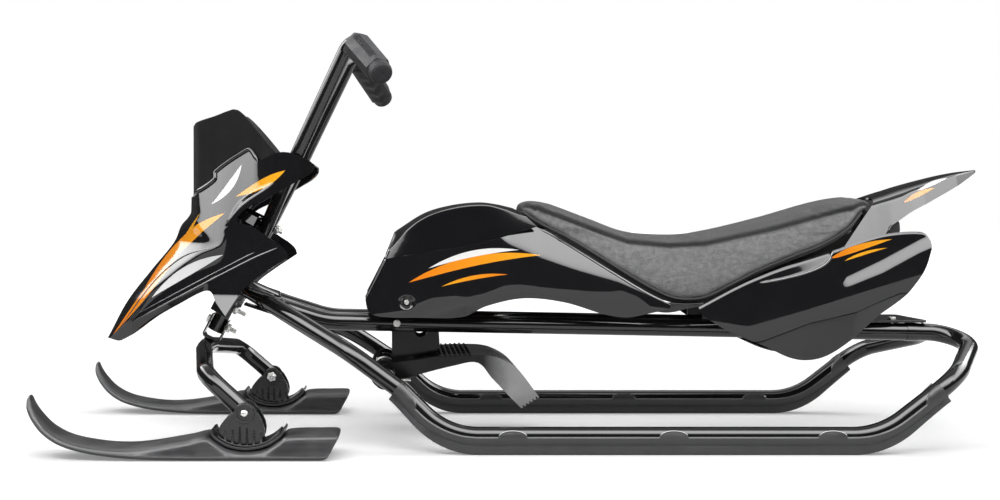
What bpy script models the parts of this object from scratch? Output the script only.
# Steering sled (snow scooter) with two steered front skis, a saddle and a claw brake.
# Units are metres and +Z is up. The nose points along -X and the left side is -Y.
# Side profiles are written from a datum plane that crosses the frame just behind the cross tube.
import math

import bmesh
import bpy
from mathutils import Matrix, Vector

# Clearances between touching pieces, and how far a twelve-sided ring lies inside its circle
GAP = 0.0003
BORE_PLAY = 0.0003
FACET = math.cos(math.pi / 12)

# Where the middle of the whole sled lies behind the profile datum
DATUM_TO_MIDDLE = 0.1705

# Frame tubing
TUBE_R = 0.011
TUBE_WALL = 0.0015
SPIGOT_LENGTH = 0.025
RAIL_Y = 0.049
RUNNER_Y = 0.190
RAIL_FRONT_Z = 0.147
RAIL_REAR_Z = 0.134
RAIL_BEND_X = -0.080
RAIL_END_X = 0.6588
SOLE_THICKNESS = 0.010
SHEATH_WALL = 0.003
SHEATH_END_Z = 0.0750
RUNNER_BEND_X = 0.068
RUNNER_REAR_X = 0.582
RUNNER_REAR_ANGLE = math.radians(37.8)
RUNNER_HEAD_CORNERS = ((-0.1894, 0.0134, 0.1891), (-0.0480, 0.1500, 0.1162))

# Steering head
RAKE = math.radians(27.0)
COLUMN_FOOT = Vector((-0.229, 0.0, 0.1319))
COLUMN_R = 0.010
COLUMN_WALL = 0.002
COLUMN_LENGTH = 0.168
HEAD_R = 0.0165
HEAD_WALL = 0.0022
HEAD_FROM = 0.050
HEAD_LENGTH = 0.068
BUSH_FLANGE = 0.003
BUSH_DEPTH = 0.016
FORK_BOLT_AT = 0.0109
LOWER_BRACKET_AT = 0.0366
UPPER_BRACKET_AT = COLUMN_LENGTH - 0.0135

# Handlebar
BAR_R = 0.009
BAR_WALL = 0.0015
BAR_FOOT = 0.126
GRIP_R = 0.0155

# Front fork, skis and their brackets
FORK_R = 0.011
YOKE_THICKNESS = 0.002
YOKE_WIDTH = 0.024
YOKE_DROP = 0.012
SKI_Y = 0.205
SKI_HALF_WIDTH = 0.042
SKI_PIVOT_X = -0.1688
SKI_PIVOT_Z = 0.0519
CHEEK_GAP = 0.0270
CHEEK_THICKNESS = 0.0045
BOSS_R = 0.0125
BRACKET_FLANGE = 0.003

# Fasteners
BOLT_R = 0.003
PIVOT_BOLT_R = 0.004
NUT_HEIGHT = 0.005

# Brake
BRAKE_AXIS_X = -0.006
BRAKE_AXIS_Z = 0.083
CROSS_TUBE_R = 0.0125
BRAKE_HALF_WIDTH = 0.0845
BRAKE_SHEET = 0.002
SPRING_WIRE_R = 0.0012
SPRING_TURNS = 3
SPRING_STEPS = 10
SPRING_LEG = 0.034
SPRING_AIR = 0.0006
CLAW_TEETH = 6

# Body shells and seat
BODY_HALF_WIDTH = 0.100
SHELL_WALL = 0.0025
SEAT_BASE_THICKNESS = 0.004
COWL_INSET = 0.0232
COWL_TIP_HALF = 0.010
PLATE_THICKNESS = 0.003

SIDES = (("left", -1), ("right", 1))


def material(name, color, roughness, metallic=0.0):
    found = bpy.data.materials.get(name)
    if found:
        return found
    made = bpy.data.materials.new(name)
    made.use_nodes = True
    shader = made.node_tree.nodes["Principled BSDF"]
    shader.inputs["Base Color"].default_value = (*color, 1.0)
    shader.inputs["Roughness"].default_value = roughness
    shader.inputs["Metallic"].default_value = metallic
    return made


def empty(name, location, parent=None):
    holder = bpy.data.objects.new(name, None)
    bpy.context.scene.collection.objects.link(holder)
    holder.empty_display_size = 0.05
    holder.location = location
    holder.parent = parent
    return holder


def add_mesh(name, bm, look, parent, sharp=40.0):
    """Link a closed mesh, given in profile coordinates, under the empty that carries it."""
    bmesh.ops.recalc_face_normals(bm, faces=bm.faces)
    mesh = bpy.data.meshes.new(name)
    origin = parent_offset(parent)
    bmesh.ops.translate(bm, verts=bm.verts, vec=-origin)
    bm.to_mesh(mesh)
    bm.free()
    mesh.shade_smooth()
    mesh.set_sharp_from_angle(angle=math.radians(sharp))
    if look:
        mesh.materials.append(look)
    piece = bpy.data.objects.new(name, mesh)
    bpy.context.scene.collection.objects.link(piece)
    piece.parent = parent
    return piece


def parent_offset(holder):
    """Distance from the profile datum to an empty, down the chain of empties."""
    offset = Vector((0.0, 0.0, 0.0))
    while holder is not None and holder.parent is not None:
        offset = offset + holder.location
        holder = holder.parent
    return offset


def rings_to_bmesh(rings, closed_path=False):
    """Skin a row of equal rings into one closed body, with flat ends."""
    bm = bmesh.new()
    loops = [[bm.verts.new(point) for point in ring] for ring in rings]
    count = len(loops[0])
    pairs = list(zip(loops, loops[1:]))
    if closed_path:
        pairs.append((loops[-1], loops[0]))
    for first, second in pairs:
        for k in range(count):
            after = (k + 1) % count
            bm.faces.new((first[k], first[after], second[after], second[k]))
    if not closed_path:
        bm.faces.new(loops[0])
        bm.faces.new(reversed(loops[-1]))
    return bm


def sheet_to_bmesh(outer, inner):
    """Close two equal grids of points into one thin shell."""
    bm = bmesh.new()
    rows = len(outer)
    columns = len(outer[0])
    front = [[bm.verts.new(point) for point in row] for row in outer]
    back = [[bm.verts.new(point) for point in row] for row in inner]
    for i in range(rows - 1):
        for j in range(columns - 1):
            bm.faces.new((front[i][j], front[i][j + 1], front[i + 1][j + 1], front[i + 1][j]))
            bm.faces.new((back[i][j], back[i + 1][j], back[i + 1][j + 1], back[i][j + 1]))
    border = [(0, j) for j in range(columns)]
    border += [(i, columns - 1) for i in range(1, rows)]
    border += [(rows - 1, j) for j in range(columns - 2, -1, -1)]
    border += [(i, 0) for i in range(rows - 2, 0, -1)]
    for (i, j), (m, n) in zip(border, border[1:] + border[:1]):
        bm.faces.new((front[i][j], back[i][j], back[m][n], front[m][n]))
    return bm


def grid_normals(grid):
    """Smooth normals of a grid of points, from its neighbours both ways."""
    rows = len(grid)
    columns = len(grid[0])
    normals = []
    for i in range(rows):
        row = []
        for j in range(columns):
            along = grid[min(i + 1, rows - 1)][j] - grid[max(i - 1, 0)][j]
            across = grid[i][min(j + 1, columns - 1)] - grid[i][max(j - 1, 0)]
            row.append(along.cross(across).normalized())
        normals.append(row)
    return normals


def offset_grid(grid, distance):
    normals = grid_normals(grid)
    return [
        [point + normal * distance for point, normal in zip(row, facing)]
        for row, facing in zip(grid, normals)
    ]


def curve_points(points, count):
    """Points at even steps along a smooth curve through the given points."""
    points = [Vector(point) for point in points]
    lengths = [0.0]
    for first, second in zip(points, points[1:]):
        lengths.append(lengths[-1] + (second - first).length)
    found = []
    for step in range(count):
        distance = lengths[-1] * step / (count - 1)
        k = 0
        while k < len(points) - 2 and lengths[k + 1] < distance:
            k += 1
        span = lengths[k + 1] - lengths[k]
        t = (distance - lengths[k]) / span
        before = points[max(k - 1, 0)]
        start = points[k]
        end = points[k + 1]
        after = points[min(k + 2, len(points) - 1)]
        reach_start = span / max((end - before).length, 1e-6)
        reach_end = span / max((after - start).length, 1e-6)
        tangent_start = (end - before) * reach_start
        tangent_end = (after - start) * reach_end
        found.append(
            start * (2 * t**3 - 3 * t**2 + 1)
            + tangent_start * (t**3 - 2 * t**2 + t)
            + end * (3 * t**2 - 2 * t**3)
            + tangent_end * (t**3 - t**2)
        )
    return found


def bent_path(corners, radii, steps=3):
    """Centre line of a bent tube: straight runs with an arc of the given radius at each corner."""
    corners = [Vector(corner) for corner in corners]
    path = [corners[0]]
    for before, corner, after, radius in zip(corners, corners[1:], corners[2:], radii):
        arriving = (corner - before).normalized()
        leaving = (after - corner).normalized()
        turn = arriving.angle(leaving)
        reach = radius * math.tan(turn / 2)
        axis = arriving.cross(leaving).normalized()
        centre = corner - arriving * reach + axis.cross(arriving).normalized() * radius
        spoke = corner - arriving * reach - centre
        for step in range(steps + 1):
            path.append(centre + Matrix.Rotation(turn * step / steps, 3, axis) @ spoke)
    path.append(corners[-1])
    return path


def path_frames(path, up):
    """A pair of side vectors at each point of a path, carried along without twist."""
    frames = []
    side = None
    for k, point in enumerate(path):
        ahead = path[min(k + 1, len(path) - 1)] - path[max(k - 1, 0)]
        ahead.normalize()
        if side is None:
            side = ahead.cross(Vector(up)).normalized()
        else:
            side = (side - ahead * side.dot(ahead)).normalized()
        frames.append((point, side, ahead.cross(side).normalized()))
    return frames


def level_frames(path):
    """Side and top vectors at each point of a path, with the side always level."""
    frames = []
    for k, point in enumerate(path):
        ahead = path[min(k + 1, len(path) - 1)] - path[max(k - 1, 0)]
        side = ahead.cross(Vector((0.0, 0.0, 1.0))).normalized()
        frames.append((point, side, side.cross(ahead).normalized()))
    return frames


def round_ring(frame, radius, sides):
    point, side, top = frame
    turn = math.tau / sides
    return [
        point + side * math.cos(turn * k) * radius + top * math.sin(turn * k) * radius
        for k in range(sides)
    ]


def tube_bmesh(path, radii, wall, sides=12, up=(0.0, 1.0, 0.0)):
    """An open-ended tube along a path. A wall of None gives a solid rod."""
    frames = path_frames(path, up)
    outer = [round_ring(frame, radius, sides) for frame, radius in zip(frames, radii)]
    if wall is None:
        return rings_to_bmesh(outer)
    inner = [round_ring(frame, radius - wall, sides) for frame, radius in zip(frames, radii)]
    return rings_to_bmesh(outer + inner[::-1], closed_path=True)


def axis_rings(centre, direction, profile, sides=12):
    """Rings of a turned or hexagonal piece. The profile holds distance, radius and shape."""
    direction = Vector(direction).normalized()
    side = direction.orthogonal().normalized()
    if abs(direction.y) < 0.9:
        side = (Vector((0.0, 1.0, 0.0)) - direction * direction.y).normalized()
    top = direction.cross(side)
    rings = []
    for distance, radius, shape in profile:
        ring = []
        for k in range(sides):
            angle = math.tau * k / sides
            reach = radius
            if shape == "hex":
                fold = (angle + math.pi / 6) % (math.pi / 3) - math.pi / 6
                reach = radius / math.cos(fold)
            spoke = side * math.cos(angle) * reach + top * math.sin(angle) * reach
            ring.append(Vector(centre) + direction * distance + spoke)
        rings.append(ring)
    return rings


def bolt_bmesh(centre, direction, head_at, end_at, radius):
    """A hex-head bolt whose head lies before head_at and whose shank runs to end_at."""
    head = radius * 1.6
    height = radius * 1.2
    profile = [
        (head_at - height, head, "hex"),
        (head_at, head, "hex"),
        (head_at, radius, "round"),
        (end_at, radius, "round"),
    ]
    return rings_to_bmesh(axis_rings(centre, direction, profile))


def ring_bmesh(centre, direction, start, end, outer, inner, shape="round", sides=12):
    """A washer, nut, bush or sleeve between two distances along its axis."""
    outside = axis_rings(centre, direction, [(start, outer, shape), (end, outer, shape)], sides)
    inside = axis_rings(centre, direction, [(end, inner, "round"), (start, inner, "round")], sides)
    return rings_to_bmesh(outside + inside, closed_path=True)


def plate_bmesh(outline, y_from, y_to):
    """A flat plate: a side outline of (x, z) points, thickened along Y."""
    near = [Vector((x, y_from, z)) for x, z in outline]
    far = [Vector((x, y_to, z)) for x, z in outline]
    return rings_to_bmesh([near, far])


def add_cutter(name, bm, parent):
    cutter = add_mesh(name, bm, None, parent)
    cutter.hide_render = True
    cutter.display_type = "WIRE"
    return cutter


def carve(piece, cutter, operation="DIFFERENCE"):
    boolean = piece.modifiers.new(cutter.name, "BOOLEAN")
    boolean.operation = operation
    boolean.solver = "EXACT"
    boolean.object = cutter


def through_hole(name, centre, direction, reach, radius, parent, sides=12):
    """Cutter for a bore whose flats still clear a round piece of the given radius."""
    drill_r = radius / math.cos(math.pi / sides)
    profile = [(-reach, drill_r, "round"), (reach, drill_r, "round")]
    return add_cutter(name, rings_to_bmesh(axis_rings(centre, direction, profile, sides)), parent)


def circle_outline(x, z, radius, start, end, steps):
    """Points (x, z) of an arc, with angles in degrees from +X towards +Z."""
    points = []
    for k in range(steps + 1):
        angle = math.radians(start + (end - start) * k / steps)
        points.append((x + radius * math.cos(angle), z + radius * math.sin(angle)))
    return points


def at_column(along, back, y=0.0):
    """A point given along the steering axis, behind it and across it."""
    axis = Vector((math.sin(RAKE), 0.0, math.cos(RAKE)))
    behind = Vector((math.cos(RAKE), 0.0, -math.sin(RAKE)))
    return COLUMN_FOOT + axis * along + behind * back + Vector((0.0, y, 0.0))


def column_axis():
    return (math.sin(RAKE), 0.0, math.cos(RAKE))


def column_behind():
    return (math.cos(RAKE), 0.0, -math.sin(RAKE))


def rail_z(x):
    """Height of the seat rails' centre line, behind their front bend."""
    share = (x - RAIL_BEND_X) / (RAIL_END_X - RAIL_BEND_X)
    return RAIL_FRONT_Z + (RAIL_REAR_Z - RAIL_FRONT_Z) * share


def mirrored(points, side):
    """Points of the right-hand side, flipped for the left-hand one."""
    return [Vector((x, y * side, z)) for x, y, z in points]


def steel(name):
    return material(name, (0.012, 0.012, 0.013), 0.18)


def zinc():
    return material("zinc", (0.62, 0.62, 0.64), 0.32, 1.0)


def runner_path(side):
    """Centre line of one runner tube, from the steering head round to the spigot."""
    flat_z = SOLE_THICKNESS + TUBE_R
    joint_z = rail_z(RAIL_END_X)
    rise = math.tan(RUNNER_REAR_ANGLE)
    upper_x = 0.672
    corners = [
        *RUNNER_HEAD_CORNERS,
        (0.012, 0.1735, 0.0745),
        (RUNNER_BEND_X, RUNNER_Y, flat_z),
        (RUNNER_REAR_X, RUNNER_Y, flat_z),
        (upper_x, RUNNER_Y, flat_z + (upper_x - RUNNER_REAR_X) * rise),
        (0.746, RAIL_Y + 0.003, joint_z - 0.006),
        (0.690, RAIL_Y, rail_z(0.690)),
        (RAIL_END_X + GAP, RAIL_Y, joint_z),
    ]
    path = bent_path(corners, (0.12, 0.10, 0.09, 0.10, 0.055, 0.036, 0.10))
    return mirrored(path, side)


def rail_path(side):
    """Centre line of a seat rail, from inside the runner tube back to the loop's spigot."""
    head, bend = (Vector(corner) for corner in RUNNER_HEAD_CORNERS)
    start = head.lerp(bend, (RAIL_Y - head.y) / (bend.y - head.y))
    corners = [
        start,
        (RAIL_BEND_X, RAIL_Y, RAIL_FRONT_Z),
        (RAIL_END_X, RAIL_Y, RAIL_REAR_Z),
    ]
    return mirrored(bent_path(corners, (0.12,)), side)


def build_tubes(frame):
    black = steel("frame_powder_coat")
    cope_r = HEAD_R + GAP
    cope = through_hole(
        "head_tube_cope", at_column(HEAD_FROM, 0.0), column_axis(), HEAD_LENGTH, cope_r, frame, 16
    )
    for label, side in SIDES:
        path = runner_path(side)
        towards_rail = (path[-1] - path[-2]).normalized()
        radii = [TUBE_R] * len(path)
        spigot_r = (TUBE_R - TUBE_WALL) * FACET - BORE_PLAY
        path += [path[-1] + towards_rail * 0.0002, path[-1] + towards_rail * SPIGOT_LENGTH]
        radii += [spigot_r, spigot_r]
        runner_tube = tube_bmesh(path, radii, TUBE_WALL)
        carve(add_mesh("runner_tube_" + label, runner_tube, black, frame), cope)
        line = rail_path(side)
        rail_tube = tube_bmesh(line, [TUBE_R] * len(line), TUBE_WALL)
        rail = add_mesh("seat_rail_" + label, rail_tube, black, frame)
        saddle_r = (TUBE_R + GAP) / FACET
        saddle = tube_bmesh(path[:2], [saddle_r] * 2, None)
        carve(rail, add_cutter("rail_saddle_" + label, saddle, frame))


def cut_at_height(low, high, z):
    """The point between a low and a high one that lies at the given height."""
    return low.lerp(high, (z - low.z) / (high.z - low.z))


def build_sheaths(frame):
    """Plastic runner shoes: half a sleeve under the tube, with a thick flat sole."""
    plastic = material("runner_plastic", (0.02, 0.02, 0.021), 0.5)
    inner = (TUBE_R + GAP) / FACET
    outer = TUBE_R + GAP + SHEATH_WALL
    for label, side in SIDES:
        line = runner_path(side)
        inside = [k for k, point in enumerate(line) if point.z < SHEATH_END_Z]
        first, last = inside[0], inside[-1]
        front_end = cut_at_height(line[first], line[first - 1], SHEATH_END_Z)
        rear_end = cut_at_height(line[last], line[last + 1], SHEATH_END_Z)
        path = [front_end] + line[first : last + 1] + [rear_end]
        rings = []
        for point, across, top in level_frames(path):
            rise = max(point.z - (SOLE_THICKNESS + TUBE_R), 0.0)
            depth = TUBE_R + SHEATH_WALL
            depth += (SOLE_THICKNESS - SHEATH_WALL) * math.exp(-rise / 0.030)
            ring = []
            for angle in (0, -20, -40):
                bend = math.radians(angle)
                ring.append((outer * math.cos(bend), outer * math.sin(bend)))
            ring.append((outer * 0.80, -depth + 0.0015))
            ring.append((outer * 0.68, -depth))
            ring += [(-a, b) for a, b in reversed(ring)]
            for angle in range(180, 361, 30):
                bend = math.radians(angle)
                ring.append((inner * math.cos(bend), inner * math.sin(bend)))
            rings.append([point + across * a + top * b for a, b in ring])
        add_mesh("runner_sheath_" + label, rings_to_bmesh(rings), plastic, frame)


def build_head_tube(frame):
    axis = column_axis()
    centre = at_column(0.0, 0.0)
    bore = HEAD_R - HEAD_WALL
    head_to = HEAD_FROM + HEAD_LENGTH
    body = ring_bmesh(centre, axis, HEAD_FROM, head_to, HEAD_R, bore, sides=16)
    add_mesh("head_tube", body, steel("frame_powder_coat"), frame)
    nylon = material("bush_nylon", (0.05, 0.05, 0.05), 0.45)
    for name, edge, outwards in (
        ("lower_steering_bush", HEAD_FROM, -1),
        ("upper_steering_bush", head_to, 1),
    ):
        flange_in = edge + outwards * GAP
        flange_out = flange_in + outwards * BUSH_FLANGE
        sleeve_end = edge - outwards * BUSH_DEPTH
        sleeve_r = bore - GAP
        inner_r = COLUMN_R + BORE_PLAY
        profile = [
            (sleeve_end, sleeve_r, "round"),
            (flange_in, sleeve_r, "round"),
            (flange_in, HEAD_R, "round"),
            (flange_out, HEAD_R, "round"),
            (flange_out, inner_r, "round"),
            (sleeve_end, inner_r, "round"),
        ]
        bush = rings_to_bmesh(axis_rings(centre, axis, profile, 16), closed_path=True)
        add_mesh(name, bush, nylon, frame)


def build_cross_members(frame):
    black = steel("frame_powder_coat")
    reach = 0.1385
    tube = ring_bmesh(
        (BRAKE_AXIS_X, 0.0, BRAKE_AXIS_Z),
        (0.0, 1.0, 0.0),
        -reach,
        reach,
        CROSS_TUBE_R,
        CROSS_TUBE_R - TUBE_WALL,
        sides=16,
    )
    add_mesh("brake_cross_tube", tube, black, frame)
    plate_half = RAIL_Y + TUBE_R
    for name, x_from, x_to in (
        ("front_cross_plate", 0.016, 0.066),
        ("rear_cross_plate", 0.600, 0.684),
    ):
        bottom = max(rail_z(x_from), rail_z(min(x_to, RAIL_END_X))) + TUBE_R + GAP
        outline = [
            (x_from, bottom),
            (x_to, bottom),
            (x_to, bottom + PLATE_THICKNESS),
            (x_from, bottom + PLATE_THICKNESS),
        ]
        add_mesh(name, plate_bmesh(outline, -plate_half, plate_half), black, frame)


def cross_plate_top(x):
    return rail_z(x) + TUBE_R + GAP + PLATE_THICKNESS


def build_hanger_plates(frame):
    """Sheet-steel plates that hang from the rails and hold the brake's cross tube."""
    black = steel("frame_powder_coat")
    outer_y = RAIL_Y - TUBE_R - GAP
    inner_y = outer_y - 0.0025
    top = rail_z(0.01) + 0.004
    seat_r = CROSS_TUBE_R + GAP
    outline = [(0.0030, top), (0.0625, top), (0.0650, 0.1078), (0.0350, 0.1030)]
    outline += [(0.0235, 0.1010), (0.0190, 0.0930)]
    outline += circle_outline(BRAKE_AXIS_X, BRAKE_AXIS_Z, seat_r, 20, 44, 3)
    hole_r = 0.0075
    for label, side in SIDES:
        near, far = sorted((side * inner_y, side * outer_y))
        plate = add_mesh("hanger_plate_" + label, plate_bmesh(outline, near, far), black, frame)
        across = (0.0, 1.0, 0.0)
        window = (0.040, side * outer_y, 0.1335)
        carve(plate, through_hole("hanger_hole_" + label, window, across, 0.02, hole_r, frame))
        bolt_at = (0.0096, side * RAIL_Y, rail_z(0.0096))
        bolt_hole = through_hole(
            "hanger_bolt_hole_" + label, bolt_at, across, 0.03, BOLT_R + BORE_PLAY, frame
        )
        carve(plate, bolt_hole)
        carve(bpy.data.objects["seat_rail_" + label], bolt_hole)
        bolt = bolt_bmesh(
            bolt_at, (0.0, -side, 0.0), -TUBE_R - GAP, TUBE_R + 0.008, BOLT_R
        )
        add_mesh("hanger_bolt_" + label, bolt, zinc(), frame)


def build_spring(frame):
    """Torsion spring wound on the cross tube, one leg up the plate and one under the pedal."""
    coil_r = (CROSS_TUBE_R + GAP + SPRING_WIRE_R) / math.cos(math.pi / SPRING_STEPS)
    start_y = -0.010
    pitch = SPRING_WIRE_R * 2 + SPRING_AIR
    steps = SPRING_TURNS * SPRING_STEPS
    leg_end = Vector((BRAKE_AXIS_X + SPRING_LEG, start_y, BRAKE_AXIS_Z - coil_r - SPRING_AIR))
    path = [leg_end]
    for k in range(steps + 1):
        angle = -math.pi / 2 - math.tau * k / SPRING_STEPS
        path.append(
            Vector(
                (
                    BRAKE_AXIS_X + coil_r * math.cos(angle),
                    start_y + pitch * k / SPRING_STEPS,
                    BRAKE_AXIS_Z + coil_r * math.sin(angle),
                )
            )
        )
    turns = path[1:]
    least = min(
        (first - second).length
        for k, first in enumerate(turns)
        for second in turns[k + SPRING_STEPS // 2 :]
    )
    print("least gap between spring turns, mm:", round((least - 2 * SPRING_WIRE_R) * 1000, 2))
    path.append(path[-1] + Vector((SPRING_LEG, 0.0, -SPRING_AIR)))
    bm = tube_bmesh(path, [SPRING_WIRE_R] * len(path), None, sides=6, up=(0.0, 0.0, 1.0))
    add_mesh("brake_return_spring", bm, zinc(), frame)


def build_column(steering):
    """Steering column with three fore-and-aft bolts: fork, lower fairing and upper fairing."""
    axis = column_axis()
    behind = column_behind()
    centre = at_column(0.0, 0.0)
    column = add_mesh(
        "steering_column",
        ring_bmesh(centre, axis, 0.0, COLUMN_LENGTH, COLUMN_R, COLUMN_R - COLUMN_WALL, sides=16),
        steel("frame_powder_coat"),
        steering,
    )
    strap_out = COLUMN_R + GAP + YOKE_THICKNESS
    for name, along, nut_at, end_at in (
        ("fork", FORK_BOLT_AT, strap_out + GAP, 0.0260),
        ("lower_fairing", LOWER_BRACKET_AT, COLUMN_R + GAP, 0.0270),
        ("upper_fairing", UPPER_BRACKET_AT, COLUMN_R + GAP, 0.0210),
    ):
        middle = at_column(along, 0.0)
        hole = through_hole(name + "_hole", middle, behind, 0.03, BOLT_R + BORE_PLAY, steering)
        carve(column, hole)
        bolt = bolt_bmesh(middle, behind, -strap_out - GAP, end_at, BOLT_R)
        add_mesh(name + "_bolt", bolt, zinc(), steering)
        nut = ring_bmesh(
            middle,
            behind,
            nut_at,
            nut_at + NUT_HEIGHT,
            BOLT_R * 1.7,
            BOLT_R + BORE_PLAY,
            "hex",
        )
        add_mesh(name + "_nut", nut, zinc(), steering)


def strap_bmesh(points, width):
    """A bent flat strap: outer and inner (along, back) outline, as wide as given along Y."""
    near = [at_column(along, back, -width / 2) for along, back in points]
    far = [at_column(along, back, width / 2) for along, back in points]
    return rings_to_bmesh([near, far])


def build_yoke_and_fork(steering):
    black = steel("frame_powder_coat")
    inner = COLUMN_R + GAP
    outer = inner + YOKE_THICKNESS
    top = FORK_BOLT_AT + 0.009
    outline = [
        (top, -outer),
        (-YOKE_DROP + 0.003, -outer),
        (-YOKE_DROP, -outer + 0.003),
        (-YOKE_DROP, outer - 0.003),
        (-YOKE_DROP + 0.003, outer),
        (top, outer),
        (top, inner),
        (-YOKE_DROP + YOKE_THICKNESS + 0.002, inner),
        (-YOKE_DROP + YOKE_THICKNESS, inner - 0.002),
        (-YOKE_DROP + YOKE_THICKNESS, -inner + 0.002),
        (-YOKE_DROP + YOKE_THICKNESS + 0.002, -inner),
        (top, -inner),
    ]
    yoke = add_mesh("fork_yoke", strap_bmesh(outline, YOKE_WIDTH), black, steering)
    carve(yoke, bpy.data.objects["fork_hole"])
    crown = at_column(-YOKE_DROP - GAP, 0.0) - Vector(column_axis()) * FORK_R
    bend_y = SKI_Y - 0.007
    bend = Vector((-0.2167, bend_y, 0.0943))
    pivot = Vector((SKI_PIVOT_X, SKI_Y, SKI_PIVOT_Z))
    tip = pivot + (pivot - bend).normalized() * 0.008
    right = bent_path([crown, crown + Vector((0.001, 0.035, -0.001)), bend, tip], (0.10, 0.030))
    left = mirrored(right, -1)
    path = left[::-1] + right[1:]
    fork = add_mesh("ski_fork", tube_bmesh(path, [FORK_R] * len(path), None), black, steering)
    for label, side in SIDES:
        centre = (SKI_PIVOT_X, side * SKI_Y, SKI_PIVOT_Z)
        hole_r = PIVOT_BOLT_R + BORE_PLAY
        hole = through_hole("fork_eye_" + label, centre, (0, 1, 0), 0.02, hole_r, steering)
        carve(fork, hole)


def build_handlebar(steering):
    black = steel("frame_powder_coat")
    rubber = material("grip_rubber", (0.03, 0.03, 0.032), 0.6)
    foot_y = COLUMN_R + BAR_R + GAP
    for label, side in SIDES:
        grip_from = Vector((-0.0415, 0.1045, 0.4955))
        grip_to = Vector((-0.0082, 0.190, 0.4492))
        lean = (grip_to - grip_from).normalized()
        corners = [
            at_column(BAR_FOOT, 0.0, foot_y),
            at_column(BAR_FOOT + 0.030, 0.0, foot_y),
            at_column(0.245, -0.003, 0.068),
            grip_from - lean * 0.0205,
            grip_to - lean * 0.004,
        ]
        path = mirrored(bent_path(corners, (0.06, 0.10, 0.017)), side)
        bar = tube_bmesh(path, [BAR_R] * len(path), BAR_WALL)
        add_mesh("handlebar_" + label, bar, black, steering)
        start = Vector((grip_from.x, grip_from.y * side, grip_from.z))
        along = Vector((lean.x, lean.y * side, lean.z))
        inner = (BAR_R + GAP) / FACET
        end = (grip_to - grip_from).length
        profile = [
            (0.0, inner, "round"),
            (0.0, GRIP_R * 0.86, "hex"),
            (0.006, GRIP_R, "hex"),
            (end - 0.014, GRIP_R * 0.94, "hex"),
            (end - 0.010, GRIP_R * 0.90, "round"),
            (end - 0.002, GRIP_R * 0.90, "round"),
            (end, GRIP_R * 0.78, "round"),
            (end, 0.004, "round"),
            (end - 0.0036, 0.004, "round"),
            (end - 0.0036, inner, "round"),
        ]
        grip = rings_to_bmesh(axis_rings(start, along, profile), closed_path=True)
        add_mesh("grip_" + label, grip, rubber, steering)


def ski_sections():
    """Stations along a ski: sole point, top point, half width share and edge softness."""
    return (
        ((-0.4235, 0.0650), (-0.4185, 0.0725), 0.50),
        ((-0.4205, 0.0540), (-0.4105, 0.0640), 0.72),
        ((-0.4122, 0.0410), (-0.3997, 0.0515), 0.86),
        ((-0.3997, 0.0270), (-0.3872, 0.0390), 0.95),
        ((-0.3795, 0.0155), (-0.3699, 0.0290), 1.00),
        ((-0.3536, 0.0075), (-0.3469, 0.0222), 1.00),
        ((-0.3219, 0.0030), (-0.3190, 0.0190), 1.00),
        ((-0.2845, 0.0008), (-0.2835, 0.0205), 1.00),
        ((-0.2326, 0.0000), (-0.2326, 0.0275), 1.00),
        ((-0.2115, 0.0000), (-0.2115, 0.0300), 1.00),
        ((-0.2030, 0.0000), (-0.2030, 0.0240), 1.00),
        ((-0.1880, 0.0000), (-0.1880, 0.0145), 1.00),
        ((-0.1650, 0.0000), (-0.1650, 0.0105), 1.00),
        ((-0.1420, 0.0000), (-0.1420, 0.0150), 1.00),
        ((-0.1270, 0.0000), (-0.1270, 0.0240), 1.00),
        ((-0.1180, 0.0000), (-0.1180, 0.0305), 1.00),
        ((-0.0825, 0.0000), (-0.0765, 0.0325), 1.00),
        ((-0.0705, 0.0020), (-0.0565, 0.0325), 1.00),
    )


def ski_bmesh(side):
    rings = []
    lip = 0.0045
    for sole, top, share in ski_sections():
        half = SKI_HALF_WIDTH * share
        low = Vector((sole[0], side * SKI_Y, sole[1]))
        high = Vector((top[0], side * SKI_Y, top[1]))
        rise = high - low
        lift = min(lip / rise.length, 0.45)
        outline = (
            (0.92, 0.0),
            (1.0, lift * 0.35),
            (1.0, lift),
            (0.955, lift * 1.25),
            (0.90, 0.93),
            (0.84, 1.0),
        )
        ring = [low + rise * up + Vector((0, half * out, 0)) for out, up in outline]
        ring += [low + rise * up - Vector((0, half * out, 0)) for out, up in reversed(outline)]
        rings.append(ring)
    return rings_to_bmesh(rings)


def saddle_z(x):
    """Height of the ski's top where the bracket's curved flange sits in it."""
    tops = [top for sole, top, share in ski_sections()]
    for first, second in zip(tops, tops[1:]):
        if first[0] <= x <= second[0]:
            return first[1] + (second[1] - first[1]) * (x - first[0]) / (second[0] - first[0])
    return tops[-1][1]


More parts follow.
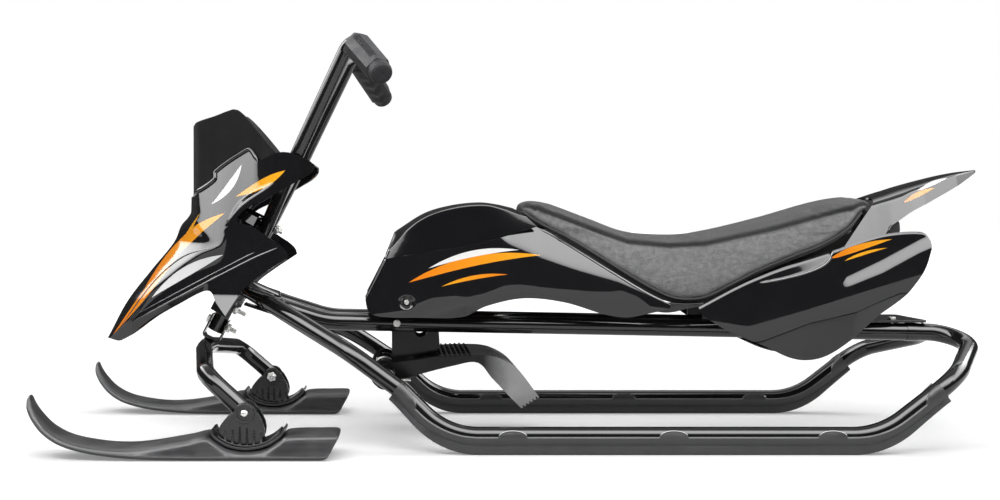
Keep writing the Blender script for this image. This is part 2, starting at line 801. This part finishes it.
def build_ski(label, side, holder):
    plastic = material("ski_plastic", (0.022, 0.022, 0.023), 0.5)
    moulding = material("bracket_plastic", (0.015, 0.015, 0.016), 0.35)
    add_mesh("ski_" + label, ski_bmesh(side), plastic, holder)
    pivot_x = SKI_PIVOT_X
    flange_xs = (-0.2085, -0.2030, -0.1880, -0.1650, -0.1420, -0.1270, -0.1210)
    lower = [(x, saddle_z(x) + GAP) for x in flange_xs]
    lower[0] = (-0.2070, 0.0345)
    lower[-1] = (-0.1195, 0.0375)
    upper = [(x + 0.0012 * (pivot_x - x) / 0.04, z + BRACKET_FLANGE) for x, z in lower]
    flange_half = 0.030
    flange = lower + upper[::-1]
    middle = side * SKI_Y
    bracket = add_mesh(
        "ski_bracket_" + label,
        plate_bmesh(flange, middle - flange_half, middle + flange_half),
        moulding,
        holder,
    )
    cheek_foot = [(-0.1960, 0.0300), (-0.1880, 0.0165), (-0.1650, 0.0125), (-0.1450, 0.0160)]
    cheek_foot += [(-0.1410, 0.0300)]
    boss = circle_outline(pivot_x, SKI_PIVOT_Z, BOSS_R, 10, 170, 8)
    cheek = cheek_foot + boss
    outer = CHEEK_GAP / 2 + CHEEK_THICKNESS
    inner = CHEEK_GAP / 2
    for index, edges in enumerate(((inner, outer), (-outer, -inner))):
        cheek_mesh = plate_bmesh(cheek, middle + edges[0], middle + edges[1])
        joined = add_cutter("cheek_" + str(index) + label, cheek_mesh, holder)
        carve(bracket, joined, "UNION")
    centre = Vector((pivot_x, middle, SKI_PIVOT_Z))
    hole_r = PIVOT_BOLT_R + BORE_PLAY
    carve(bracket, through_hole("pivot_hole_" + label, centre, (0, 1, 0), 0.04, hole_r, holder))
    outwards = (0.0, -float(side), 0.0)
    bolt = bolt_bmesh(centre, outwards, -outer - GAP, outer + NUT_HEIGHT + 0.003, PIVOT_BOLT_R)
    add_mesh("ski_pivot_bolt_" + label, bolt, zinc(), holder)
    nut = ring_bmesh(
        centre,
        outwards,
        outer + GAP,
        outer + GAP + NUT_HEIGHT,
        PIVOT_BOLT_R * 1.7,
        PIVOT_BOLT_R + BORE_PLAY,
        "hex",
    )
    add_mesh("ski_pivot_nut_" + label, nut, zinc(), holder)


def build_brake(holder):
    """Claw brake bent from sheet: a tread plate between two flanges that end in teeth."""
    sheet = material("brake_steel", (0.10, 0.10, 0.10), 0.4, 0.6)
    eye_r = CROSS_TUBE_R + 0.0055
    top = [(0.010, 0.0985), (0.035, 0.1015), (0.063, 0.1060), (0.095, 0.1075), (0.127, 0.1062)]
    top += [(0.148, 0.0985), (0.163, 0.0872), (0.183, 0.0612), (0.188, 0.0545)]
    claw_top = Vector((0.1880, 0.0, 0.0545))
    claw_low = Vector((0.1656, 0.0, 0.0403))
    notch = Vector((-0.0012, 0.0, 0.0022))
    pitch = (claw_low - claw_top) / (CLAW_TEETH - 0.5)
    teeth = []
    for k in range(CLAW_TEETH):
        points = [claw_top + pitch * (k + 0.5)]
        if k:
            points.insert(0, claw_top + pitch * k)
        if k < CLAW_TEETH - 1:
            points += [claw_top + pitch * (k + share) + notch for share in (0.54, 0.96)]
        teeth += [(point.x, point.z) for point in points]
    lower = [(0.148, 0.0580), (0.128, 0.0790), (0.111, 0.0975), (0.085, 0.0950), (0.0144, 0.0770)]
    eye = circle_outline(BRAKE_AXIS_X, BRAKE_AXIS_Z, eye_r, -40, -310, 9)
    outline = top + teeth + lower + eye
    half = BRAKE_HALF_WIDTH
    near = plate_bmesh(outline, -half, -half + BRAKE_SHEET)
    brake = add_mesh("brake_pedal", near, sheet, holder, sharp=30)
    far = plate_bmesh(outline, half - BRAKE_SHEET, half)
    carve(brake, add_cutter("brake_far_flange", far, holder), "UNION")
    path = [(0.0280, 0.1004)] + top[1:]
    under = []
    for k, (x, z) in enumerate(path):
        before = path[max(k - 1, 0)]
        after = path[min(k + 1, len(path) - 1)]
        run = Vector((after[0] - before[0], after[1] - before[1]))
        run.normalize()
        under.append((x + run.y * BRAKE_SHEET, z - run.x * BRAKE_SHEET))
    tread = path + under[::-1]
    plate = plate_bmesh(tread, -half + BRAKE_SHEET / 2, half - BRAKE_SHEET / 2)
    carve(brake, add_cutter("brake_tread", plate, holder), "UNION")
    axle = (BRAKE_AXIS_X, 0.0, BRAKE_AXIS_Z)
    carve(
        brake,
        through_hole("brake_eye", axle, (0, 1, 0), 0.10, CROSS_TUBE_R + BORE_PLAY, holder, 16),
    )


# Side-view lines of the body, as (x, z) points
SHELL_LOWER = (
    (-0.0305, 0.1710),
    (-0.0100, 0.1565),
    (0.0280, 0.1546),
    (0.0910, 0.1560),
    (0.1200, 0.1690),
    (0.1670, 0.1790),
    (0.2180, 0.1740),
    (0.2680, 0.1590),
    (0.2970, 0.1550),
    (0.3235, 0.1605),
    (0.3490, 0.1660),
)
PANEL_LINE = (
    (-0.0045, 0.2280),
    (0.0400, 0.2360),
    (0.0910, 0.2435),
    (0.1420, 0.2560),
    (0.1840, 0.2690),
)
SEAT_EDGE = (
    (0.1840, 0.2690),
    (0.2080, 0.2560),
    (0.2750, 0.2135),
    (0.3200, 0.1860),
    (0.3490, 0.1716),
)
TANK_CREST = (
    (0.0090, 0.2630),
    (0.0460, 0.2860),
    (0.0800, 0.2960),
    (0.1150, 0.2998),
    (0.1380, 0.2975),
    (0.1580, 0.2930),
)
CUSHION_TOP = (
    (0.1665, 0.2960),
    (0.1740, 0.3030),
    (0.1870, 0.3025),
    (0.2090, 0.2940),
    (0.2550, 0.2765),
    (0.3000, 0.2605),
    (0.3530, 0.2555),
    (0.4000, 0.2580),
    (0.4860, 0.2770),
    (0.5680, 0.3000),
    (0.6000, 0.3050),
    (0.6170, 0.3010),
)
CUSHION_RIM = (
    (0.1685, 0.2895),
    (0.1870, 0.2745),
    (0.2240, 0.2530),
    (0.2680, 0.2260),
    (0.3010, 0.2050),
    (0.3350, 0.1855),
    (0.3600, 0.1765),
    (0.3925, 0.1780),
    (0.4240, 0.1930),
    (0.4610, 0.2120),
    (0.5090, 0.2320),
    (0.5390, 0.2440),
    (0.5740, 0.2650),
    (0.5930, 0.2850),
)
REAR_LOWER = (
    (0.3876, 0.1604),
    (0.4190, 0.1396),
    (0.4716, 0.1178),
    (0.5060, 0.1026),
    (0.5313, 0.0985),
    (0.5566, 0.1046),
    (0.5859, 0.1269),
    (0.6133, 0.1518),
    (0.6462, 0.1766),
    (0.6679, 0.2009),
    (0.6821, 0.2344),
)
REAR_UPPER = (
    (0.3850, 0.1680),
    (0.4440, 0.1985),
    (0.5000, 0.2205),
    (0.5520, 0.2380),
    (0.6090, 0.2565),
    (0.6360, 0.2590),
    (0.6640, 0.2600),
    (0.6740, 0.2560),
)
COWL_CREST = (
    (0.6216, 0.3065),
    (0.6530, 0.3170),
    (0.6990, 0.3300),
    (0.7330, 0.3380),
    (0.7645, 0.3420),
)
COWL_LOWER = (
    (0.5660, 0.2370),
    (0.6020, 0.2480),
    (0.6400, 0.2630),
    (0.6590, 0.2830),
    (0.6900, 0.3010),
    (0.7290, 0.3200),
    (0.7625, 0.3378),
)


def height_at(line, x):
    """Height of a side-view line at a given x, straight between its points."""
    if x <= line[0][0]:
        return line[0][1]
    for first, second in zip(line, line[1:]):
        if x <= second[0]:
            share = (x - first[0]) / (second[0] - first[0])
            return first[1] + (second[1] - first[1]) * share
    return line[-1][1]


def body_half_width(x):
    """Half width of the shells at their widest, slimmer at the tank's nose."""
    nose = 0.018 * max(0.0, 1.0 - (x + 0.03) / 0.13) ** 2
    return BODY_HALF_WIDTH - nose


def line_points(line, count):
    return curve_points([(x, 0.0, z) for x, z in line], count)


def pull_back(grid, row_end, distance):
    """Shorten a grid at its first or last column, to leave a seam there."""
    for row in grid:
        edge, inner = (row[0], row[1]) if row_end == "first" else (row[-1], row[-2])
        step = inner - edge
        moved = edge + step * min(distance / max(step.length, 1e-6), 0.4)
        if row_end == "first":
            row[0] = moved
        else:
            row[-1] = moved


# Cross-section of the tank's top cover: (share of the height, share of the half width)
COVER_SECTION = ((0.0, 1.0), (0.10, 0.995), (0.42, 0.90), (0.76, 0.68), (0.93, 0.38))


def side_shell_grid(columns):
    """Rows from the shell's lower edge to its upper edge, columns from front to back."""
    tank_part = columns // 2
    lower = line_points(SHELL_LOWER, columns)
    upper = line_points(PANEL_LINE, tank_part)
    upper += line_points(SEAT_EDGE, columns - tank_part + 1)[1:]
    grid = []
    for low, high in zip(lower, upper):
        row = []
        for up, out in ((0.0, 0.900), (0.16, 0.985), (0.38, 1.0), (0.62, 0.997), (0.82, 0.975),
                        (1.0, 0.935)):
            point = low.lerp(high, up)
            half = body_half_width(point.x)
            row.append(Vector((point.x, half * out, point.z)))
        grid.append(row)
    return grid


def tank_cover_grid(columns):
    """Across the tank's top, from one panel line over the crest to the other."""
    edge = line_points(PANEL_LINE, columns)
    crest = line_points(TANK_CREST, columns)
    grid = []
    for low, high in zip(edge, crest):
        half = body_half_width(low.x) * 0.935
        row = []
        for side in (-1, 1):
            section = []
            for up, out in COVER_SECTION:
                x = low.x + (high.x - low.x) * up
                section.append(Vector((x, side * half * out, low.z + (high.z - low.z) * up)))
            row += section if side < 0 else [Vector((high.x, 0.0, high.z))] + section[::-1]
        grid.append(row)
    return grid


def add_shell(name, grid, thickness, look, holder, flip=False):
    """Thicken a grid inwards into a closed shell."""
    direction = thickness if flip else -thickness
    inner = offset_grid(grid, direction)
    return add_mesh(name, sheet_to_bmesh(grid, inner), look, holder, sharp=50)


def flipped_grid(grid, side):
    return [[Vector((p.x, p.y * side, p.z)) for p in row] for row in grid]


def shells_black():
    return material("shell_gloss_black", (0.008, 0.008, 0.009), 0.08)


def front_panel_grid():
    """Panel that closes the tank's nose, set back between the side shells and the cover."""
    low, high = PANEL_LINE[0], TANK_CREST[0]
    nose = ((SHELL_LOWER[0][1], SHELL_LOWER[0][0]), low[::-1], high[::-1])
    cover = [(low[1] + (high[1] - low[1]) * up, out) for up, out in COVER_SECTION]
    grid = []
    for z in (0.174, 0.188, 0.204, 0.220, 0.232, 0.242, 0.251):
        x = height_at(nose, z) + 0.0075
        half = body_half_width(x) * 0.935 * height_at(cover, z) - SHELL_WALL - 0.0036
        grid.append(
            [
                Vector((x - 0.004 * (1 - across**2), half * across, z))
                for across in (-1.0, -0.7, -0.35, 0.0, 0.35, 0.7, 1.0)
            ]
        )
    return grid


def build_tank(frame):
    black = shells_black()
    for label, side in SIDES:
        grid = side_shell_grid(16)
        pull_back(grid, "last", GAP * 2)
        add_shell(
            "tank_side_shell_" + label,
            flipped_grid(grid, side),
            SHELL_WALL,
            black,
            frame,
            flip=side > 0,
        )
    cover = tank_cover_grid(12)
    pull_back(cover, "first", GAP)
    pull_back(cover, "last", GAP)
    add_shell("tank_top_cover", cover, SHELL_WALL, black, frame, flip=False)
    add_shell("tank_front_panel", front_panel_grid(), SHELL_WALL, black, frame, flip=True)


def build_seat(frame):
    """Padded saddle: crowned top, sides drawn in under a crease, on a moulded base."""
    leather = material("seat_leather", (0.035, 0.035, 0.036), 0.45)
    base_look = material("seat_base_plastic", (0.012, 0.012, 0.012), 0.5)
    rim = line_points(CUSHION_RIM, 24)
    top = line_points(CUSHION_TOP, 24)
    rings = []
    lower = []
    for k, (low, high) in enumerate(zip(rim, top)):
        share = k / (len(rim) - 1)
        nose = min(1.0, 0.62 + share * 3.2) if share < 0.12 else 1.0
        tail = 1.0 - 0.16 * max(0.0, (share - 0.86) / 0.14) ** 2
        half = (BODY_HALF_WIDTH - 0.001) * nose * tail
        rise = high - low
        ring = []
        section = (
            (0.55, 0.0),
            (0.94, 0.0),
            (1.0, 0.06),
            (0.985, 0.30),
            (0.94, 0.58),
            (0.83, 0.80),
            (0.70, 0.89),
            (0.42, 0.97),
        )
        for out, up in section:
            ring.append(low + rise * up + Vector((0.0, half * out, 0.0)))
        ring.append(high.copy())
        for out, up in reversed(section):
            ring.append(low + rise * up - Vector((0.0, half * out, 0.0)))
        rings.append(ring)
        lower.append((low, half))
    add_mesh("seat_cushion", rings_to_bmesh(rings), leather, frame, sharp=60)
    grid = []
    for low, half in lower:
        if low.x > 0.192:
            grid.append([Vector((low.x, half * out, low.z)) for out in (-0.885, 0.0, 0.885)])
    upper = offset_grid(grid, -GAP * 1.5)
    under = offset_grid(grid, -GAP * 1.5 - SEAT_BASE_THICKNESS)
    add_mesh("seat_base", sheet_to_bmesh(upper, under), base_look, frame)


def build_seat_supports(frame):
    """Two moulded webs that stand on the rails and carry the seat base."""
    plastic = material("seat_base_plastic", (0.012, 0.012, 0.012), 0.5)
    drop = SEAT_BASE_THICKNESS + GAP * 3.5
    xs = [0.400, 0.424, 0.461, 0.509, 0.539, 0.565]
    bottom_from = rail_z(0.400) + TUBE_R + GAP
    bottom_to = rail_z(0.598) + TUBE_R + GAP
    outline = [(x, height_at(CUSHION_RIM, x) - drop - 0.0020) for x in xs]
    outline += [(0.598, 0.262), (0.598, bottom_to), (0.400, bottom_from)]
    web = 0.004
    for label, side in SIDES:
        near, far = sorted((side * (RAIL_Y - web / 2), side * (RAIL_Y + web / 2)))
        add_mesh("seat_support_" + label, plate_bmesh(outline, near, far), plastic, frame)


def build_rear_panels(frame):
    black = shells_black()
    for label, side in SIDES:
        lower = line_points(REAR_LOWER, 14)
        upper = line_points(REAR_UPPER, 14)
        grid = []
        for low, high in zip(lower, upper):
            row = []
            for up, out in ((0.0, 0.66), (0.14, 0.80), (0.34, 0.93), (0.58, 1.0), (0.80, 0.985),
                            (1.0, 0.90)):
                point = low.lerp(high, up)
                row.append(Vector((point.x, side * BODY_HALF_WIDTH * out, point.z)))
            grid.append(row)
        add_shell(
            "rear_side_panel_" + label, grid, SHELL_WALL, black, frame, flip=side > 0
        )


def build_cowl(frame):
    black = shells_black()
    crest = line_points(COWL_CREST, 10)
    lower = line_points(COWL_LOWER, 10)
    grid = []
    for k, (low, high) in enumerate(zip(lower, crest)):
        share = k / 9
        half = (BODY_HALF_WIDTH - COWL_INSET) * (1 - share) ** 0.8 + COWL_TIP_HALF
        row = []
        for side in (-1, 1):
            section = []
            for up, out in ((0.0, 1.0), (0.45, 0.86), (0.82, 0.66), (0.96, 0.36)):
                point = low.lerp(high, up)
                section.append(Vector((point.x, side * half * out, point.z)))
            row += section if side < 0 else [high.copy()] + section[::-1]
        grid.append(row)
    add_shell("tail_cowl", grid, SHELL_WALL, black, frame)


def build_body_bracket(frame):
    """Steel strap across the frame that the tank's side shells are screwed to."""
    black = steel("frame_powder_coat")
    x_from, x_to = 0.0130, 0.0300
    base = cross_plate_top(0.016) + GAP
    thickness = 0.002
    out = body_half_width(0.0214) * 0.985 - SHELL_WALL - 0.0020
    foot = 0.078
    knee = base + 0.011
    up = 0.190
    right = [(foot, base), (out, knee), (out, up), (out - thickness, up)]
    right += [(out - thickness, knee + 0.0008), (foot - 0.0008, base + thickness)]
    outline = right + [(-y, z) for y, z in reversed(right)]
    front = [Vector((x_from, y, z)) for y, z in outline]
    back = [Vector((x_to, y, z)) for y, z in outline]
    strap = add_mesh("body_bracket", rings_to_bmesh([front, back]), black, frame)
    for label, side in SIDES:
        centre = (0.0214, side * out, 0.1736)
        hole = through_hole(
            "shell_screw_hole_" + label, centre, (0, 1, 0), 0.012, BOLT_R + BORE_PLAY, frame
        )
        carve(strap, hole)
        carve(bpy.data.objects["tank_side_shell_" + label], hole)
        screw = bolt_bmesh(centre, (0, -side, 0), -0.0063, 0.006, BOLT_R)
        add_mesh("shell_screw_" + label, screw, zinc(), frame)


# Front edge of the fairing in side view, from its nose upwards, as (z, x)
FAIRING_EDGE = (
    (0.1000, -0.3830),
    (0.1230, -0.3690),
    (0.1713, -0.3430),
    (0.2138, -0.3100),
    (0.2479, -0.2824),
    (0.2700, -0.2725),
    (0.2800, -0.2640),
    (0.2880, -0.2600),
    (0.4000, -0.2600),
)
FAIRING_OUTLINE = (
    (-0.3950, 0.1250),
    (-0.3684, 0.1225),
    (-0.3491, 0.1200),
    (-0.3077, 0.1490),
    (-0.2778, 0.1663),
    (-0.2573, 0.1776),
    (-0.2335, 0.1869),
    (-0.2254, 0.1858),
    (-0.2184, 0.1732),
    (-0.2053, 0.1567),
    (-0.1889, 0.1823),
    (-0.1732, 0.1987),
    (-0.1266, 0.2301),
    (-0.1290, 0.2375),
    (-0.1367, 0.2453),
    (-0.1461, 0.2516),
    (-0.1741, 0.2691),
    (-0.1904, 0.2742),
    (-0.1921, 0.2793),
    (-0.1803, 0.2907),
    (-0.1542, 0.3031),
    (-0.1169, 0.3243),
    (-0.0969, 0.3355),
    (-0.0911, 0.3443),
    (-0.1011, 0.3509),
    (-0.1338, 0.3620),
    (-0.1662, 0.3504),
    (-0.1759, 0.3653),
    (-0.1816, 0.3660),
    (-0.2228, 0.3390),
    (-0.2245, 0.3280),
    (-0.2560, 0.3070),
    (-0.2850, 0.3060),
    (-0.3100, 0.2850),
    (-0.3950, 0.1600),
)
SCREEN_TOP = (
    (-0.2566, 0.3990),
    (-0.2450, 0.4050),
    (-0.2050, 0.4160),
    (-0.1940, 0.4160),
    (-0.1850, 0.4110),
    (-0.1420, 0.3600),
)


# How far the tips of the fairing's arms turn in behind the handlebar tubes
ARM_TUCK = 0.050


def share_between(value, start, end):
    """Smooth step from 0 at start to 1 at end."""
    t = min(max((value - start) / (end - start), 0.0), 1.0)
    return t * t * (3 - 2 * t)


def fairing_front(z):
    return height_at(FAIRING_EDGE, z)


def fairing_half(distance, z):
    """Half width of the fairing at a distance behind its front edge."""
    upper = share_between(z, 0.235, 0.305)
    width = 0.078 + 0.012 * upper
    depth = 0.150 - 0.062 * upper
    t = min(max(distance / depth, 0.0), 1.0)
    tuck = upper * ARM_TUCK * max(0.0, (distance - 0.148) / 0.027)
    return width * (1 - (1 - t) ** 2) - tuck


def fairing_inside(x, z):
    """Half width just inside the fairing's inner face."""
    step = 0.004
    here = fairing_half(x - fairing_front(z), z)
    along = (fairing_half(x + step - fairing_front(z), z) - here) / step
    up = (fairing_half(x - fairing_front(z + step), z + step) - here) / step
    return here - SHELL_WALL * math.sqrt(1 + along**2 + up**2) - GAP * 2


def build_fairing(steering):
    """Moulded mask: a curved shell cut to its side outline."""
    distances = (0.0, 0.006, 0.016, 0.030, 0.047, 0.067, 0.090, 0.118, 0.148, 0.175)
    heights = [0.106 + 0.0242 * k for k in range(12)]
    grid = []
    for z in heights:
        half = [
            Vector((fairing_front(z) + d, fairing_half(d, z), z)) for d in distances
        ]
        grid.append([Vector((p.x, -p.y, p.z)) for p in half[:0:-1]] + half)
    outer = grid
    inner = offset_grid(grid, SHELL_WALL)
    slab = sheet_to_bmesh(outer, inner)
    fairing = add_mesh("fairing", slab, shells_black(), steering, sharp=35)
    mask = plate_bmesh(FAIRING_OUTLINE, -0.13, 0.13)
    carve(fairing, add_cutter("fairing_outline", mask, steering), "INTERSECT")


def build_windshield(steering):
    smoked = material("windshield_plastic", (0.02, 0.02, 0.021), 0.35)
    wall = 0.002
    z_level = 0.34
    grid = []
    columns = 10
    for k in range(-columns, columns + 1):
        share = abs(k) / columns
        x = -0.2566 + 0.1146 * share**1.75
        distance = x + 0.2568
        depth = 0.088
        t = min(distance / depth, 1.0)
        y = (fairing_inside(-0.150, z_level) - GAP) * math.sqrt(1 - (1 - t) ** 2.6) * 0.995
        limit = fairing_inside(x, z_level) - GAP if share > 0.2 else y
        y = min(y, max(limit, 0.0)) if share > 0.2 else y
        top = height_at(SCREEN_TOP, x)
        bottom = 0.309 + 0.018 * share_between(share, 0.0, 0.6)
        side = -1 if k < 0 else 1
        grid.append(
            [Vector((x, side * y, bottom + (top - bottom) * up)) for up in (0.0, 0.4, 0.75, 1.0)]
        )
    add_shell("windshield", grid, wall, smoked, steering, flip=True)


def bracket_bmesh(along, width, half_points):
    """Flat strap bent in plan: (back, y) points of its outer face, the same on both sides."""
    thickness = 0.002
    outer = [Vector((back, y)) for back, y in half_points]
    outer = [Vector((p.x, -p.y)) for p in outer[::-1]] + outer
    inner = []
    for k, point in enumerate(outer):
        run = outer[min(k + 1, len(outer) - 1)] - outer[max(k - 1, 0)]
        run.normalize()
        inner.append(point + Vector((run.y, -run.x)) * thickness)
    ring = outer + inner[::-1]
    low = [at_column(along - width / 2, p.x, p.y) for p in ring]
    high = [at_column(along + width / 2, p.x, p.y) for p in ring]
    return rings_to_bmesh([low, high])


def build_fairing_brackets(steering):
    black = steel("frame_powder_coat")
    front = -(COLUMN_R + GAP + YOKE_THICKNESS)
    for name, along, reach_back in (
        ("lower_fairing", LOWER_BRACKET_AT, 0.010),
        ("upper_fairing", UPPER_BRACKET_AT, -0.045),
    ):
        width = 0.012
        points = [(front, 0.012)]
        for back in (front, reach_back):
            place = at_column(along, back)
            points.append((back, fairing_inside(place.x, place.z) - 0.0030))
        corner = points[1]
        points[1] = (corner[0], corner[1] - 0.001)
        bracket = add_mesh(
            name + "_bracket", bracket_bmesh(along, width, points), black, steering
        )
        carve(bracket, bpy.data.objects[name + "_hole"])


def build_sled():
    for old in list(bpy.data.objects):
        bpy.data.objects.remove(old, do_unlink=True)
    frame = empty("sled", (-DATUM_TO_MIDDLE, 0.0, 0.0))
    steering = empty("steering_axis", COLUMN_FOOT, frame)
    brake_axle = empty("brake_axle", (BRAKE_AXIS_X, 0.0, BRAKE_AXIS_Z), frame)
    build_tubes(frame)
    build_sheaths(frame)
    build_head_tube(frame)
    build_cross_members(frame)
    build_hanger_plates(frame)
    build_spring(frame)
    build_tank(frame)
    build_seat(frame)
    build_seat_supports(frame)
    build_rear_panels(frame)
    build_cowl(frame)
    build_body_bracket(frame)
    build_column(steering)
    build_yoke_and_fork(steering)
    build_handlebar(steering)
    build_fairing(steering)
    build_windshield(steering)
    build_fairing_brackets(steering)
    for label, side in SIDES:
        pivot = Vector((SKI_PIVOT_X, side * SKI_Y, SKI_PIVOT_Z))
        holder = empty("ski_pivot_" + label, pivot - COLUMN_FOOT, steering)
        build_ski(label, side, holder)
    build_brake(brake_axle)


build_sled()
